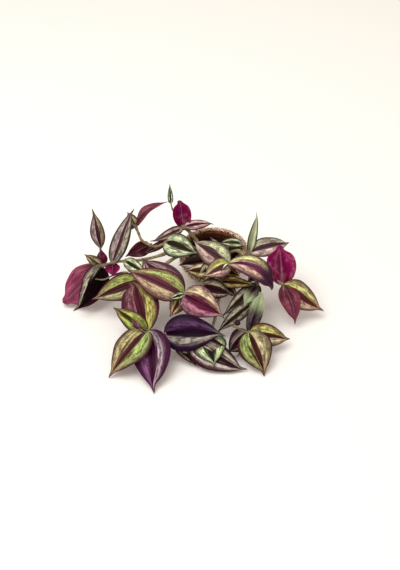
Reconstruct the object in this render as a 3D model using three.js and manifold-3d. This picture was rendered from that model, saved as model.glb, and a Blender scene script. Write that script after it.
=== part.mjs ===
// A trailing tradescantia in a small pot made of a coconut shell, its leafy stems spilt over the front rim.
// Millimetres, +Z up. The origin is the middle of the pot's foot, on the surface that it stands on.
// +X is to the right, and -Y is the side that the stems trail over.

import * as THREE from "three";
import { mergeVertices } from "three/addons/utils/BufferGeometryUtils.js";
import Module from "manifold-3d";

const wasm = await Module();
wasm.setup();

// ---- driving dimensions --------------------------------------------------------------------------------

// The pot: the lower part of a coconut shell, cut level, with a flat sanded foot.
const POT_HEIGHT = 46;
const POT_WIDEST_RADIUS = 39;
const POT_WIDEST_HEIGHT = 32;
const POT_RIM_RADIUS = 37.5;
const POT_FOOT_RADIUS = 14;
const POT_WALL = 8.5;
const POT_FLOOR = 8;
const POT_BELLY = 1.8; // exponent of the curve from the foot to the widest ring
const RIM_ROUND = 1.5; // how wide the rim's bevels are
const EYE_RADIUS = 2.5; // the shell's three eyes, opened as drain holes
const EYE_CIRCLE_RADIUS = 9;
const EYES = 3;

// The soil.
const SOIL_HEIGHT = 35; // at the wall
const SOIL_CROWN = 2; // how much higher the middle is
const CLEARANCE = 0.3; // between the soil and the pot, and round each stem

// Stems and leaves.
const ROOT_DEPTH = 12; // how deep a stem stands in the soil
const STEM_RADIUS = 2.1; // at the soil
const STEM_TIP_RADIUS = 1.3;
const BRANCH_RADIUS = 1.3; // where it leaves its stem
const NODE_SWELLING = 0.3; // share by which a stem is thicker where a leaf grows
const BUD_REACH = 0.8; // how far a bud's middle stands past the stem's end, in radii
const BLADE_THICKNESS = 0.8;
const NECK_HALF_WIDTH = 1.1; // a blade where it leaves the stem
const TIP_HALF_WIDTH = 0.3;
const FOLD = 20; // degrees by which each half of a blade rises from its midrib
const EDGE_DROOP = 0.35; // share of its half width by which an edge curves back down
const BOW = 0.07; // share of its length by which a blade arches
const POINTED = [0.55, 1.15]; // exponents of a blade's outline before and after its widest place
const BLUNT = [0.5, 0.55];
const LIGHT = new THREE.Vector3(0, -0.6, 0.8).normalize(); // leaves turn their upper side to this

// Smoothness.
const ROUND_STEPS = 36;
const WALL_STEPS = 12; // rings up the pot's wall
const SOIL_STEPS = 6;
const EYE_STEPS = 12;
const STEM_SIDES = 5;
const STEM_STEPS_PER_POINT = 2;
const BLADE_ROWS = 5;
const BLADE_COLUMNS = 4;
const BUD_DETAIL = 1;

// ---- the plant -----------------------------------------------------------------------------------------

// Each shoot is one piece. Its first stem stands in the soil and its other stems branch off that one. A stem
// passes through its points. A leaf grows at the point that `at` counts to, from 0, or from -1 at the start of
// a branch, and ends at its tip. Widths are of the whole blade, roll turns a blade about its midrib, away from
// the light, twist turns it further at its root, and sway curves it sideways. A bud is the radius of the one at
// a stem's end.
const SHOOTS = [
  {
    name: "far_left_shoot",
    colour: "#6d4152",
    stems: [
      {
        points: [
          [-15, -2, 36], [-32, -8, 53], [-57, -17, 47], [-79, -20, 42], [-99, -25, 44],
          [-113, -28, 44], [-125, -32, 42],
        ],
        leaves: [
          { at: 4, tip: [-74, -46, 42], width: 15 },
          { at: 5, tip: [-91, 18, 86], width: 20, roll: 10 },
          { at: 5, tip: [-112, -44, 38], width: 17, roll: 175 },
          { at: 6, tip: [-136, 18, 85], width: 22, roll: -15, twist: 208, sway: 0.04 },
          { at: 6, tip: [-169, -53, 6], width: 46, roll: 196, bow: 0, blunt: true },
          { at: 6, tip: [-153, -77, 14], width: 38, roll: -46, bow: 0.12 },
          { at: 6, tip: [-145, -17, 47], width: 12 },
        ],
      },
      {
        from: [-79, -20, 42],
        points: [[-82, -46, 32], [-98, -32, 33], [-111, -36, 33], [-121, -49, 37], [-130, -52, 40]],
        tipRadius: 0.6,
        leaves: [{ at: 0, tip: [-134, -69, 24], width: 32 }],
      },
    ],
  },
  {
    name: "left_back_shoot",
    colour: "#7a3350",
    stems: [
      {
        points: [
          [-13, 8, 36], [-26, 14, 53], [-34, 16, 60], [-44, 8, 57], [-54, -4, 54], [-65, -8, 51],
          [-72, -6, 52], [-81, -3, 56], [-85, 4, 61], [-89, 12, 66],
        ],
        leaves: [
          { at: 2, tip: [0, 32, 54], width: 15, roll: -15 },
          { at: 2.2, tip: [-71, -9, 57], width: 12, roll: -15 },
          { at: 4, tip: [-17, -30, 57], width: 31 },
          { at: 4, tip: [-82, -14, 43], width: 9 },
          { at: 6, tip: [-100, -15, 43], width: 18, roll: 170 },
          { at: 9, tip: [-51, 26, 88], width: 17, roll: 145, bow: -0.2 },
          { at: 9, tip: [-98, 27, 74], width: 12 },
          { at: 9, tip: [-98, 7, 62], width: 4 },
        ],
      },
      {
        from: [-34, 16, 60],
        points: [[-41, 30, 64], [-47, 35, 72], [-49, 38, 79]],
        tipRadius: 0.7,
        leaves: [
          { at: -1, tip: [-38, 33, 86], width: 22, roll: 180, blunt: true },
          { at: 2, tip: [-50, 45, 100], width: 6 },
        ],
      },
    ],
  },
  {
    name: "left_middle_shoot",
    colour: "#8a6a6a",
    stems: [
      {
        points: [[-4, -15, 36], [-5, -34, 52], [-4, -50, 49], [-14, -71, 46], [-33, -84, 45]],
        leaves: [
          { at: 1, tip: [-39, -30, 41], width: 22 },
          { at: 1.4, tip: [-17, -60, 44], width: 13 },
          { at: 2, tip: [-31, -46, 46], width: 22, roll: 20 },
          { at: 3, tip: [20, -76, 38], width: 24 },
          { at: 4, tip: [-80, -29, 50], width: 34, roll: -10 },
          { at: 4, tip: [-94, -57, 56], width: 36, bow: 0.1 },
          { at: 4, tip: [11, -110, 36], width: 37, bow: 0.1 },
          { at: 4, tip: [-47, -103, 30], width: 20 },
          { at: 4, tip: [-49, -98, 50], width: 8 },
          { at: 4, tip: [-37, -101, 41], width: 8 },
        ],
      },
    ],
  },
  {
    name: "front_left_shoot",
    colour: "#6b3f63",
    stems: [
      {
        points: [
          [-12, -10, 36], [-27, -21, 52], [-50, -26, 44], [-68, -48, 37], [-72, -88, 30],
          [-71, -121, 26],
        ],
        leaves: [
          { at: 5, tip: [-87, -56, 39], width: 42, blunt: true },
          { at: 5, tip: [-108, -92, 34], width: 21 },
          { at: 5, tip: [-109, -164, 1], width: 42, roll: 25, bow: 0.12, sway: -0.04 },
          { at: 5, tip: [-64, -186, 1], width: 44, roll: 8, bow: 0.04, sway: -0.05 },
          { at: 5, tip: [-81, -122, 33], width: 5 },
        ],
      },
    ],
  },
  {
    name: "front_shoot",
    colour: "#4e3350",
    stems: [
      {
        points: [
          [4, -15, 36], [6, -33, 52], [7, -60, 42], [2, -92, 26], [-8, -122, 18], [-26, -131, 16],
          [-41, -129, 18], [-53, -121, 23],
        ],
        leaves: [
          { at: 1.5, tip: [28, -54, 46], width: 14 },
          { at: 2, tip: [26, -78, 35], width: 14 },
          { at: 2, tip: [46, -76, 50], width: 15, roll: -15 },
          { at: 4, tip: [0, -156, 10], width: 38 },
          { at: 5, tip: [32, -156, 1], width: 34 },
          { at: 6, tip: [-24, -141, 11], width: 12 },
          { at: 6, tip: [-19, -149, 3], width: 13 },
          { at: 7, tip: [11, -128, 29], width: 42 },
        ],
      },
    ],
  },
  {
    name: "front_right_shoot",
    colour: "#5c5148",
    stems: [
      {
        points: [
          [14, -6, 36], [28, -19, 53], [41, -44, 49], [46, -65, 43], [39, -84, 32], [37, -104, 25],
          [36, -121, 24],
        ],
        leaves: [
          { at: 3, tip: [8, -94, 22], width: 17 },
          { at: 3, tip: [30, -96, 39], width: 18 },
          { at: 4, tip: [2, -108, 12], width: 16 },
          { at: 6, tip: [51, -77, 42], width: 16, blunt: true },
          { at: 6, tip: [52, -161, 1], width: 38 },
          { at: 6, tip: [80, -116, 9], width: 27 },
          { at: 6, tip: [13, -136, 9], width: 26 },
          { at: 6, tip: [24, -139, 5], width: 10 },
        ],
      },
      {
        from: [36, -121, 24],
        points: [[27, -120, 28], [19, -117, 30], [17, -117, 33], [21, -118, 35]],
        tipRadius: 0.6,
        bud: 3.3,
        leaves: [],
      },
    ],
  },
  {
    name: "crown_shoot",
    colour: "#93955c",
    stems: [
      {
        points: [[10, -12, 36], [14, -31, 53], [16, -48, 58]],
        leaves: [
          { at: 2, tip: [63, -64, 35], width: 30, roll: -20, bow: 0.38, blunt: true },
          { at: 2, tip: [-24, -11, 61], width: 31 },
          { at: 2, tip: [-13, -67, 55], width: 23 },
          { at: 2, tip: [7, -60, 58], width: 6 },
        ],
      },
    ],
  },
  {
    name: "right_back_shoot",
    colour: "#86304f",
    stems: [
      {
        points: [[15, 2, 36], [32, -6, 52], [40, -18, 51], [55, -38, 46], [66, -52, 42], [75, -62, 40]],
        leaves: [
          { at: 1, tip: [6, -2, 50], width: 13, roll: 20, bow: 0.15 },
          { at: 2, tip: [49, 6, 88], width: 10 },
          { at: 2, tip: [86, -2, 50], width: 23, bow: 0.2 },
          { at: 3, tip: [64, -57, 30], width: 15 },
          { at: 3, tip: [35, -56, 36], width: 14 },
          { at: 5, tip: [72, -20, 62], width: 34, roll: 180, bow: -0.07, blunt: true },
          { at: 5, tip: [89, -88, 6], width: 24, roll: 170, bow: -0.18 },
          { at: 5, tip: [120, -73, 11], width: 32, bow: 0 },
        ],
      },
    ],
  },
  {
    name: "young_shoot",
    colour: "#9bab74",
    stems: [
      {
        points: [[4, 4, 36], [9, -3, 45]],
        leaves: [
          { at: 1, tip: [26, 10, 50], width: 12 },
          { at: 1, tip: [-4, 17, 45], width: 5 },
        ],
      },
    ],
  },
];

// ---- solids --------------------------------------------------------------------------------------------

function solidOf(geometry) {
  geometry.deleteAttribute("normal");
  geometry.deleteAttribute("uv");
  const merged = mergeVertices(geometry, 1e-4);
  return new wasm.Manifold(
    new wasm.Mesh({
      numProp: 3,
      vertProperties: new Float32Array(merged.attributes.position.array),
      triVerts: new Uint32Array(merged.index.array),
    }),
  );
}

function solidOfVertices(vertices, triangles) {
  const geometry = new THREE.BufferGeometry();
  const numbers = vertices.flatMap((vertex) => vertex.toArray());
  geometry.setAttribute("position", new THREE.Float32BufferAttribute(numbers, 3));
  geometry.setIndex(triangles);
  return solidOf(geometry);
}

function meshOf(solid, name, colour, roughness) {
  const { vertProperties, triVerts } = solid.getMesh();
  const geometry = new THREE.BufferGeometry();
  geometry.setAttribute("position", new THREE.BufferAttribute(vertProperties, 3));
  geometry.setIndex(new THREE.BufferAttribute(triVerts, 1));
  geometry.computeVertexNormals();
  const material = new THREE.MeshStandardMaterial({ color: colour, roughness, metalness: 0 });
  const mesh = new THREE.Mesh(geometry, material);
  mesh.name = name;
  return mesh;
}

// A solid turned about the Z axis, from a closed profile of [radius, height] points that runs anticlockwise.
function turned(profile) {
  const points = profile.map(([radius, height]) => new THREE.Vector2(radius, height));
  return solidOf(new THREE.LatheGeometry([...points, points[0]], ROUND_STEPS).rotateX(Math.PI / 2));
}

// ---- pot and soil --------------------------------------------------------------------------------------

function potRadius(height) {
  if (height < POT_WIDEST_HEIGHT) {
    const below = (1 - height / POT_WIDEST_HEIGHT) ** POT_BELLY;
    return POT_FOOT_RADIUS + (POT_WIDEST_RADIUS - POT_FOOT_RADIUS) * (1 - below);
  }
  const above = (height - POT_WIDEST_HEIGHT) / (POT_HEIGHT - POT_WIDEST_HEIGHT);
  return POT_WIDEST_RADIUS - (POT_WIDEST_RADIUS - POT_RIM_RADIUS) * above ** 2;
}

function heights(from, to, steps) {
  return Array.from({ length: steps + 1 }, (_, i) => from + ((to - from) * i) / steps);
}

function potSolid() {
  const top = POT_HEIGHT - RIM_ROUND;
  const outside = heights(0, top, WALL_STEPS).map((h) => [potRadius(h), h]);
  const inside = heights(top, POT_FLOOR, WALL_STEPS).map((h) => [potRadius(h) - POT_WALL, h]);
  const rim = [
    [POT_RIM_RADIUS - RIM_ROUND, POT_HEIGHT],
    [POT_RIM_RADIUS - POT_WALL + RIM_ROUND, POT_HEIGHT],
  ];
  let pot = turned([[0, 0], ...outside, ...rim, ...inside, [0, POT_FLOOR]]);
  for (let i = 0; i < EYES; i++) {
    const angle = (2 * Math.PI * i) / EYES;
    const eye = new THREE.CylinderGeometry(EYE_RADIUS, EYE_RADIUS, 3 * POT_FLOOR, EYE_STEPS);
    eye.rotateX(Math.PI / 2);
    eye.translate(EYE_CIRCLE_RADIUS * Math.sin(angle), EYE_CIRCLE_RADIUS * Math.cos(angle), 0);
    pot = pot.subtract(solidOf(eye));
  }
  return pot;
}

function soilSolid() {
  const inner = (h) => potRadius(h) - POT_WALL - CLEARANCE;
  const side = heights(POT_FLOOR + CLEARANCE, SOIL_HEIGHT, SOIL_STEPS).map((h) => [inner(h), h]);
  const edge = inner(SOIL_HEIGHT);
  const dome = [0.75, 0.5, 0.25].map((share) => [edge * share, SOIL_HEIGHT + SOIL_CROWN * (1 - share ** 2)]);
  return turned([[0, POT_FLOOR + CLEARANCE], ...side, ...dome, [0, SOIL_HEIGHT + SOIL_CROWN]]);
}

// ---- stems and leaves ----------------------------------------------------------------------------------

function stemPoints(stem) {
  const points = stem.points.map((p) => new THREE.Vector3(...p));
  const first = points[0];
  const foot = new THREE.Vector3(first.x, first.y, first.z - ROOT_DEPTH);
  const start = stem.from ? new THREE.Vector3(...stem.from) : foot;
  return [start, ...points];
}

// A leaf's `at` counts the written points, which follow the start.
function pointOnStem(curve, at) {
  return curve.getPoint((at + 1) / (curve.points.length - 1));
}

function stemRadius(position, count, footRadius, tipRadius) {
  const along = position / count;
  const nearest = Math.abs(position - Math.round(position));
  const swelling = position > 1 ? NODE_SWELLING * Math.max(0, 1 - 4 * nearest) : 0;
  return THREE.MathUtils.lerp(footRadius, tipRadius, along) * (1 + swelling);
}

// A closed tube along a stem's curve, its sections kept from turning about it, `extra` thicker than the stem.
function stemSolid(curve, stem, extra = 0) {
  const footRadius = stem.from ? BRANCH_RADIUS : STEM_RADIUS;
  const tipRadius = stem.tipRadius ?? STEM_TIP_RADIUS;
  const count = curve.points.length - 1;
  const steps = count * STEM_STEPS_PER_POINT;
  const frames = curve.computeFrenetFrames(steps, false);
  const vertices = [];
  const triangles = [];
  for (let i = 0; i <= steps; i++) {
    const share = curve.getUtoTmapping(i / steps);
    const centre = curve.getPoint(share);
    const radius = stemRadius(share * count, count, footRadius, tipRadius) + extra;
    for (let j = 0; j < STEM_SIDES; j++) {
      const angle = (2 * Math.PI * j) / STEM_SIDES;
      const offset = frames.normals[i].clone().multiplyScalar(radius * Math.cos(angle));
      offset.addScaledVector(frames.binormals[i], radius * Math.sin(angle));
      vertices.push(centre.clone().add(offset));
    }
  }
  const at = (i, j) => i * STEM_SIDES + (j % STEM_SIDES);
  for (let i = 0; i < steps; i++) {
    for (let j = 0; j < STEM_SIDES; j++) {
      triangles.push(at(i, j), at(i, j + 1), at(i + 1, j + 1));
      triangles.push(at(i, j), at(i + 1, j + 1), at(i + 1, j));
    }
  }
  for (let j = 1; j < STEM_SIDES - 1; j++) {
    triangles.push(at(0, 0), at(0, j + 1), at(0, j));
    triangles.push(at(steps, 0), at(steps, j), at(steps, j + 1));
  }
  return solidOfVertices(vertices, triangles);
}

// A round bud that sits on the end of a stem.
function budSolid(curve, radius) {
  const end = curve.getPoint(1);
  end.addScaledVector(curve.getTangent(1), BUD_REACH * radius);
  return solidOf(new THREE.IcosahedronGeometry(radius, BUD_DETAIL).translate(end.x, end.y, end.z));
}

// A blade's width along its length, as a share of its widest: quickly wide, then drawn out to a point.
function outline(along, blunt) {
  const [rise, fall] = blunt ? BLUNT : POINTED;
  const peak = rise / (rise + fall);
  const shape = (t) => t ** rise * (1 - t) ** fall;
  return shape(along) / shape(peak);
}

function leafSolid(root, leaf) {
  const { width, roll = 0, twist = 0, bow = BOW, sway = 0, blunt = false } = leaf;
  const tip = new THREE.Vector3(...leaf.tip);
  const span = tip.clone().sub(root);
  const length = span.length();
  const axis = span.clone().normalize();
  const face = LIGHT.clone().addScaledVector(axis, -LIGHT.dot(axis)).normalize();
  face.applyAxisAngle(axis, THREE.MathUtils.degToRad(roll));
  const bent = face.clone().multiplyScalar(bow * length);
  bent.addScaledVector(axis.clone().cross(face), sway * length);
  const rows = [];
  for (let i = 0; i <= BLADE_ROWS; i++) {
    const along = (1 - Math.cos((Math.PI * i) / BLADE_ROWS)) / 2;
    const centre = root.clone().addScaledVector(span, along);
    centre.addScaledVector(bent, 4 * along * (1 - along));
    const tangent = span.clone().addScaledVector(bent, 4 * (1 - 2 * along)).normalize();
    const up = face.clone().addScaledVector(tangent, -face.dot(tangent)).normalize();
    up.applyAxisAngle(tangent, THREE.MathUtils.degToRad(twist * (1 - along) ** 2));
    const side = tangent.clone().cross(up);
    const half = (width / 2) * outline(along, blunt) + NECK_HALF_WIDTH * (1 - along) ** 4 + TIP_HALF_WIDTH;
    const fold = THREE.MathUtils.degToRad(FOLD * (1 + (2 * along - 1) ** 2));
    rows.push({ centre, up, side, half, fold });
  }
  return bladeSolid(rows);
}

// A thin closed blade over its rows. Both faces are split into the same triangles.
function bladeSolid(rows) {
  const columns = BLADE_COLUMNS + 1;
  const vertices = [];
  for (const lift of [BLADE_THICKNESS / 2, -BLADE_THICKNESS / 2]) {
    for (const { centre, up, side, half, fold } of rows) {
      for (let j = 0; j < columns; j++) {
        const across = (2 * j) / BLADE_COLUMNS - 1;
        const rise = half * (Math.abs(across) * Math.sin(fold) - EDGE_DROOP * across ** 2);
        const point = centre.clone().addScaledVector(side, half * across * Math.cos(fold));
        vertices.push(point.addScaledVector(up, rise + lift));
      }
    }
  }
  const top = (i, j) => i * columns + j;
  const under = (i, j) => rows.length * columns + top(i, j);
  const triangles = [];
  for (let i = 0; i < rows.length - 1; i++) {
    for (let j = 0; j < BLADE_COLUMNS; j++) {
      const corners = [[i, j], [i, j + 1], [i + 1, j + 1], [i + 1, j]];
      const turn = j < BLADE_COLUMNS / 2 ? 0 : 1;
      const [a, b, c, d] = corners.map((_, k) => corners[(k + turn) % 4]);
      triangles.push(top(...a), top(...b), top(...c), top(...a), top(...c), top(...d));
      triangles.push(under(...a), under(...c), under(...b), under(...a), under(...d), under(...c));
    }
  }
  const wall = (a, b) => {
    triangles.push(top(...a), under(...a), under(...b));
    triangles.push(top(...a), under(...b), top(...b));
  };
  const last = rows.length - 1;
  for (let i = 0; i < last; i++) {
    wall([i + 1, 0], [i, 0]);
    wall([i, BLADE_COLUMNS], [i + 1, BLADE_COLUMNS]);
  }
  for (let j = 0; j < BLADE_COLUMNS; j++) {
    wall([0, j], [0, j + 1]);
    wall([last, j + 1], [last, j]);
  }
  return solidOfVertices(vertices, triangles);
}

function shootSolid(shoot) {
  const pieces = [];
  for (const stem of shoot.stems) {
    const curve = new THREE.CatmullRomCurve3(stemPoints(stem), false, "catmullrom", 0.5);
    pieces.push(stemSolid(curve, stem));
    if (stem.bud) {
      pieces.push(budSolid(curve, stem.bud));
    }
    for (const leaf of stem.leaves) {
      pieces.push(leafSolid(pointOnStem(curve, leaf.at), leaf));
    }
  }
  const joined = pieces.reduce((all, piece) => all.add(piece));
  // Pockets that crossing blades close off are filled.
  return joined.decompose().find((body) => body.volume() > 0);
}

function stemHole(shoot) {
  const curve = new THREE.CatmullRomCurve3(stemPoints(shoot.stems[0]), false, "catmullrom", 0.5);
  return stemSolid(curve, shoot.stems[0], CLEARANCE);
}

// ---- the whole plant -----------------------------------------------------------------------------------

const group = new THREE.Group();
group.name = "potted_tradescantia";
group.add(meshOf(potSolid(), "shell_pot", "#9a7152", 0.95));
const soil = SHOOTS.reduce((solid, shoot) => solid.subtract(stemHole(shoot)), soilSolid());
group.add(meshOf(soil, "soil", "#241a15", 1));
for (const shoot of SHOOTS) {
  group.add(meshOf(shootSolid(shoot), shoot.name, shoot.colour, 0.5));
}

export default group;
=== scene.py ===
"""A trailing tradescantia in a pot made of a coconut shell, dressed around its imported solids.

Lengths are millimetres until a mesh is made. The origin is the middle of the pot's foot, +Z is up, and the stems
trail over the -Y side.
"""

import logging
import math
import random
from dataclasses import dataclass
from enum import Enum

import bpy
import numpy as np
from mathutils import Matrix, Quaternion, Vector, noise


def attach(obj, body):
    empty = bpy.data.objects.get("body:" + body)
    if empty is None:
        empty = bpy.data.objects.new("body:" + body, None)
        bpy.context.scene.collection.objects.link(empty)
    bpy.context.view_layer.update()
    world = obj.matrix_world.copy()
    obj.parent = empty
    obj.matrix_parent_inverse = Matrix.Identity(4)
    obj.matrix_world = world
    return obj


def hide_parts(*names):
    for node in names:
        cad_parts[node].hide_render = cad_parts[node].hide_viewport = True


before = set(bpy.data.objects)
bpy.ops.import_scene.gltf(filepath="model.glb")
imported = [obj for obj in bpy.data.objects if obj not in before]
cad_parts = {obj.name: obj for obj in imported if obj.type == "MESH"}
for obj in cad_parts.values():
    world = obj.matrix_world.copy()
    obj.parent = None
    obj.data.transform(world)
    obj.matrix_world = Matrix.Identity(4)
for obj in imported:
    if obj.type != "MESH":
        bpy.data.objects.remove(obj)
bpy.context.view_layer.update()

log = logging.getLogger("tradescantia")

MM = 0.001
BODY = "root"

# The plant's driving sizes, the same as those of its solids.
ROOT_DEPTH = 12.0
STEM_RADIUS = 2.1
STEM_TIP_RADIUS = 1.3
BRANCH_RADIUS = 1.3
NODE_SWELLING = 0.3
BUD_REACH = 0.8
NECK_HALF_WIDTH = 1.1
TIP_HALF_WIDTH = 0.3
FOLD = 20.0
EDGE_DROOP = 0.35
BOW = 0.07
LIGHT = Vector((0.0, -0.6, 0.8))

# The finer form that is only here.
BLADE_THICKNESS = 0.5
BLADE_ROWS = 36
BLADE_COLUMNS = 22
VEINS = 7
VEIN_HEIGHT = 0.05
RIB_DEPTH = 0.28
RIB_HALF_WIDTH = 0.7
EDGE_WAVE = 0.045
WAVES = (1.6, 2.6)
TIP_HOOK = 0.05
TIP_PINCH = 0.4
PINCH_PLACE = 0.9
PINCH_REACH = 0.08
SHARP_ANGLE = 50.0
STEM_STEP = 1.6
STEM_SIDES = 12
SWELLING_REACH = 0.25
BUD_RINGS = 11
SLEEVE_LENGTH = 6.5
SMALLEST_SLEEVED = 9.0
HAIR_DENSITY = 1200000.0

# The pot's and the soil's driving sizes.
POT_HEIGHT = 46.0
POT_WIDEST_RADIUS = 39.0
POT_WIDEST_HEIGHT = 32.0
POT_RIM_RADIUS = 37.5
POT_FOOT_RADIUS = 14.0
POT_WALL = 8.5
POT_FLOOR = 8.0
POT_BELLY = 1.8
SHELL_THICKNESS = 3.0
HUSK_THICKNESS = POT_WALL - SHELL_THICKNESS
EYE_RADIUS = 2.5
EYE_CIRCLE_RADIUS = 9.0
EYE_SIDES = 24
EYES = 3
SOIL_HEIGHT = 35.0
SOIL_CROWN = 2.0
CLEARANCE = 0.3

# A leaf's zone value where its bands begin and end, how bright they are and how much that differs from leaf to leaf,
# and how far the patterns of two leaves lie apart.
BAND_START = 0.22
BAND_END = 0.8
BAND_TONE = 1.4
TONE_SPREAD = 0.06
PATTERN_SHIFT = 7.3

# What a Map Range node takes, in the order of the tables below.
RANGE_INPUTS = ("Value", "From Min", "From Max", "To Min", "To Max")

Point = tuple[float, float, float]
Colour = tuple[float, float, float, float]
Ring = tuple[Vector, float]
Face = tuple[int, ...]
Mesh = bpy.types.Mesh
Piece = bpy.types.Object
Material = bpy.types.Material
Tree = bpy.types.NodeTree
Node = bpy.types.Node
Socket = bpy.types.NodeSocket


# ---- small helpers


def linear(code: str) -> Colour:
    """Turns an sRGB hex colour into the linear one that shaders take.

    Args:
        code: The colour, such as "#7b1d44".

    Returns:
        Red, green, blue and an alpha of 1.
    """
    shares = [int(code[i : i + 2], 16) / 255 for i in (1, 3, 5)]
    red, green, blue = (s / 12.92 if s <= 0.04045 else ((s + 0.055) / 1.055) ** 2.4 for s in shares)
    return red, green, blue, 1.0


def smooth_step(low: float, high: float, value: np.ndarray | float) -> np.ndarray | float:
    """Rises smoothly from 0 at low to 1 at high."""
    share = np.clip((value - low) / (high - low), 0.0, 1.0)
    return share * share * (3 - 2 * share)


def turned(vector: Vector, axis: Vector, degrees: float) -> Vector:
    """Turns a vector about an axis by the right-hand rule."""
    return Quaternion(axis, math.radians(degrees)) @ vector


def connect(tree: Tree, node: Node, links: dict) -> None:
    """Feeds a node's inputs.

    Args:
        tree: The node's tree.
        node: The node.
        links: What feeds each input, by name or number: a socket, a node's first output or a plain value.
    """
    for key, value in links.items():
        if isinstance(value, Node):
            value = value.outputs[0]
        if isinstance(value, Socket):
            tree.links.new(value, node.inputs[key])
        else:
            node.inputs[key].default_value = value


def add_node(tree: Tree, kind: str, links: dict | None = None, **settings: object) -> Node:
    """Adds a node to a tree.

    Args:
        tree: The shader or geometry tree.
        kind: The node's type.
        links: What feeds its inputs, as connect takes it.
        **settings: The node's own properties.

    Returns:
        The new node.
    """
    node = tree.nodes.new(kind)
    for name, value in settings.items():
        setattr(node, name, value)
    connect(tree, node, links or {})
    return node


def new_material(name: str, roughness: float, specular: float) -> tuple[Material, Tree, Node]:
    """Starts a material.

    Args:
        name: The real material's name.
        roughness: How matt it is.
        specular: How strongly it shines.

    Returns:
        The material, its node tree and its Principled shader.
    """
    material = bpy.data.materials.new(name)
    material.use_nodes = True
    shader = material.node_tree.nodes["Principled BSDF"]
    connect(material.node_tree, shader, {"Roughness": roughness, "Specular IOR Level": specular})
    return material, material.node_tree, shader


def new_mesh(name: str, points: list | np.ndarray, faces: list[Face], smooth: bool = False) -> Mesh:
    """Makes a mesh.

    Args:
        name: Its name.
        points: Its points in metres.
        faces: Its faces.
        smooth: Whether they are shaded smooth.

    Returns:
        The mesh.
    """
    mesh = bpy.data.meshes.new(name)
    mesh.from_pydata(points, [], faces)
    mesh.polygons.foreach_set("use_smooth", np.full(len(faces), smooth))
    mesh.update()
    return mesh


def walls(sides: int, rings: int, first: int = 0) -> list[Face]:
    """Joins rings of points by faces that look outwards.

    Args:
        sides: How many points a ring has, anticlockwise as seen from above.
        rings: How many rings there are, from the lowest up.
        first: The number of the first point.

    Returns:
        The faces.
    """
    return [
        (a + k, a + (k + 1) % sides, a + sides + (k + 1) % sides, a + sides + k)
        for a in range(first, first + (rings - 1) * sides, sides) for k in range(sides)
    ]


def new_piece(name: str, data: bpy.types.ID) -> Piece:
    """Makes an object at the origin and links it to the scene.

    Args:
        name: The object's name.
        data: Its mesh, curve, camera or light.

    Returns:
        The object.
    """
    piece = bpy.data.objects.new(name, data)
    bpy.context.scene.collection.objects.link(piece)
    return piece


def baked(piece: Piece) -> Piece:
    """Turns an object and its modifiers into a plain mesh object of the same name.

    Args:
        piece: The object, which is removed.

    Returns:
        The plain object.
    """
    graph = bpy.context.evaluated_depsgraph_get()
    mesh = bpy.data.meshes.new_from_object(piece.evaluated_get(graph), depsgraph=graph)
    name = piece.name
    bpy.data.objects.remove(piece)
    mesh.name = name
    return new_piece(name, mesh)


def settle(piece: Piece, slot: str, *nodes: str) -> None:
    """Rides a piece on the part's body, hides the nodes that it stands for, and reports it.

    Args:
        piece: The finished object.
        slot: The record's material slot; not used.
        *nodes: The nodes that the piece replaces.
    """
    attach(piece, BODY)
    if nodes:
        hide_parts(*nodes)
    log.info("%s: %d faces", piece.name, len(piece.data.polygons))


# ---- leaf colours


@dataclass(frozen=True)
class Stripes:
    """The colours of one leaf, as sRGB hex. Left and right are as seen from above with the tip pointing away.

    Attributes:
        left: The silvery band on the left of the midrib.
        right: The silvery band on the right.
        flush: What both bands turn to outward and at the tip.
        middle: The dark zone along the midrib.
        edge: The dark margin.
        under: The lower face.
        inner: Where the bands begin, as a share of the half width.
        outer: Where they end.
        turn: How far along the leaf the bands begin to turn to the flush.
        turned: How far along they have turned.
    """

    left: str
    right: str
    flush: str
    middle: str
    edge: str
    under: str = "#6f1c42"
    inner: float = 0.2
    outer: float = 0.9
    turn: float = 0.45
    turned: float = 1.0


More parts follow.
